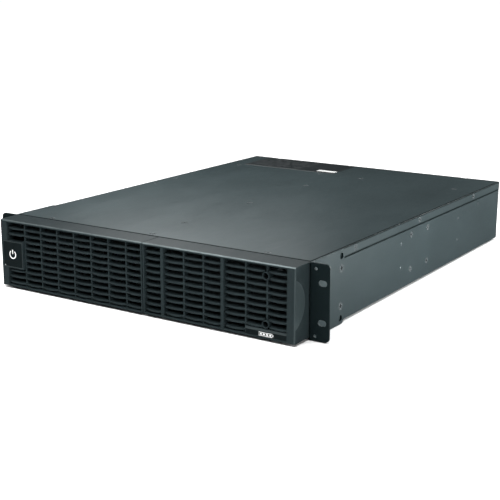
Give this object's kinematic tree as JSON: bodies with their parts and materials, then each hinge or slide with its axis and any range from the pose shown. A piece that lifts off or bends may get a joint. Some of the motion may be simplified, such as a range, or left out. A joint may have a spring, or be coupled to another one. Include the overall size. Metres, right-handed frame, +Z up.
{
  "type": "uninterruptible power supply",
  "caption": "Two-unit-high rack-mount uninterruptible power supply with a louvred bezel, a sliding battery drawer, rack ears, cooling fans and rear power sockets.",
  "frame": {"origin": "under the middle of the whole unit, on the surface that the rubber feet stand on", "axes": "+X to the right seen from the front, +Y to the rear, +Z up"},
  "size_m": [0.4826, 0.608, 0.0887],
  "materials": {
    "powder_coat": "fine-textured dark grey powder coat on sheet steel",
    "inner_steel": "zinc-plated sheet steel",
    "bezel_plastic": "moulded black ABS with a fine spark texture",
    "badge_gloss": "satin black moulded insert",
    "black_screw": "black-coated steel screws and rivets",
    "bright_steel": "nickel-plated steel",
    "slot_plate_steel": "powder-coated blanking plate",
    "rubber": "moulded rubber foot",
    "label_dark": "blank dark printed film",
    "label_white": "blank white sticker",
    "board_green": "green solder mask on glass laminate",
    "heatsink_aluminium": "extruded aluminium",
    "component_black": "moulded semiconductor cases",
    "capacitor_sleeve": "shrink sleeve over an aluminium can",
    "core_steel": "stacked and varnished steel laminations",
    "copper_winding": "enamelled copper winding",
    "copper_strap": "tinned copper strap",
    "connector_plastic": "moulded black nylon",
    "button_black": "moulded black button",
    "contact_brass": "nickel-plated brass pins",
    "port_metal": "stamped steel connector shell",
    "terminal_green": "green terminal block",
    "battery_case": "dark grey battery case",
    "lead_black": "black insulated lead",
    "lead_red": "red insulated lead",
    "light_lens": "clear light pipe"
  },
  "bodies": {
    "root": {"base_tray": "powder_coat", "top_cover": "powder_coat", "front_panel": "powder_coat", "rear_panel": "powder_coat", "battery_bay": "inner_steel", "drawer_guides": "connector_plastic", "rack_ear_left": "powder_coat", "rack_ear_right": "powder_coat", "ear_screws": "black_screw", "cover_top_screws": "black_screw", "case_side_screws": "black_screw", "side_rivets": "black_screw", "rubber_feet": "rubber", "rating_label": "label_dark", "serial_label": "label_white", "front_nuts": "bright_steel", "main_circuit_board": "board_green", "board_standoffs": "inner_steel", "heatsinks": "heatsink_aluminium", "power_transistors": "component_black", "bus_capacitors": "capacitor_sleeve", "transformer_core": "core_steel", "transformer_coil": "copper_winding", "control_board": "board_green", "battery_socket": "connector_plastic", "board_leads": "lead_black", "fan_frames": "connector_plastic", "fan_guards": "bright_steel", "fan_screws": "bright_steel", "power_inlet": "connector_plastic", "inlet_pins": "contact_brass", "outlets": "connector_plastic", "breaker_bodies": "connector_plastic", "switch_frame": "connector_plastic", "serial_port": "port_metal", "data_port": "port_metal", "stop_terminal": "terminal_green", "network_slot_cover": "slot_plate_steel", "slot_cover_screws": "bright_steel", "external_battery_connector": "connector_plastic"},
    "bezel_left_section": {"bezel_left": "bezel_plastic", "badge_plate": "badge_gloss", "status_light": "light_lens"},
    "bezel_right_section": {"bezel_right": "bezel_plastic", "bezel_right_pegs": "bezel_plastic", "name_plate": "badge_gloss"},
    "battery_drawer": {"drawer_front": "powder_coat", "drawer_tray": "inner_steel", "batteries": "battery_case", "battery_links": "copper_strap", "battery_plug": "connector_plastic", "battery_lead_negative": "lead_black", "battery_lead_positive": "lead_red"},
    "upper_retaining_screw": {"retaining_screw_upper": "black_screw"},
    "lower_retaining_screw": {"retaining_screw_lower": "black_screw"},
    "left_fan_rotor": {"fan_rotor_left": "connector_plastic"},
    "right_fan_rotor": {"fan_rotor_right": "connector_plastic"},
    "input_breaker": {"input_breaker_button": "button_black"},
    "output_breaker": {"output_breaker_button": "button_black"},
    "power_switch": {"power_rocker": "button_black"}
  },
  "joints": [
    {"name": "drawer_slide", "type": "slide", "parent": "root", "child": "battery_drawer", "axis": [0, -1, 0], "range_m": [0, 0.425]},
    {"name": "bezel_right_pull", "type": "slide", "parent": "battery_drawer", "child": "bezel_right_section", "axis": [0, -1, 0], "range_m": [0, 0.04]},
    {"name": "bezel_left_pull", "type": "slide", "parent": "root", "child": "bezel_left_section", "axis": [0, -1, 0], "range_m": [0, 0.04]},
    {"name": "upper_screw_turn", "type": "hinge", "parent": "battery_drawer", "child": "upper_retaining_screw", "pos_m": [0.1782, -0.2715, 0.0735], "axis": [0, -1, 0], "continuous": true},
    {"name": "lower_screw_turn", "type": "hinge", "parent": "battery_drawer", "child": "lower_retaining_screw", "pos_m": [0.1782, -0.2715, 0.019], "axis": [0, -1, 0], "continuous": true},
    {"name": "left_fan_spin", "type": "hinge", "parent": "root", "child": "left_fan_rotor", "pos_m": [-0.172, 0.28, 0.0455], "axis": [0, 1, 0], "continuous": true},
    {"name": "right_fan_spin", "type": "hinge", "parent": "root", "child": "right_fan_rotor", "pos_m": [0.172, 0.28, 0.0455], "axis": [0, 1, 0], "continuous": true},
    {"name": "input_breaker_pop", "type": "slide", "parent": "root", "child": "input_breaker", "axis": [0, 1, 0], "range_m": [0, 0.003]},
    {"name": "output_breaker_pop", "type": "slide", "parent": "root", "child": "output_breaker", "axis": [0, 1, 0], "range_m": [0, 0.003]},
    {"name": "power_rocker_tilt", "type": "hinge", "parent": "root", "child": "power_switch", "pos_m": [0.078, 0.2935, 0.019], "axis": [1, 0, 0], "range_deg": [-18, 0]}
  ]
}
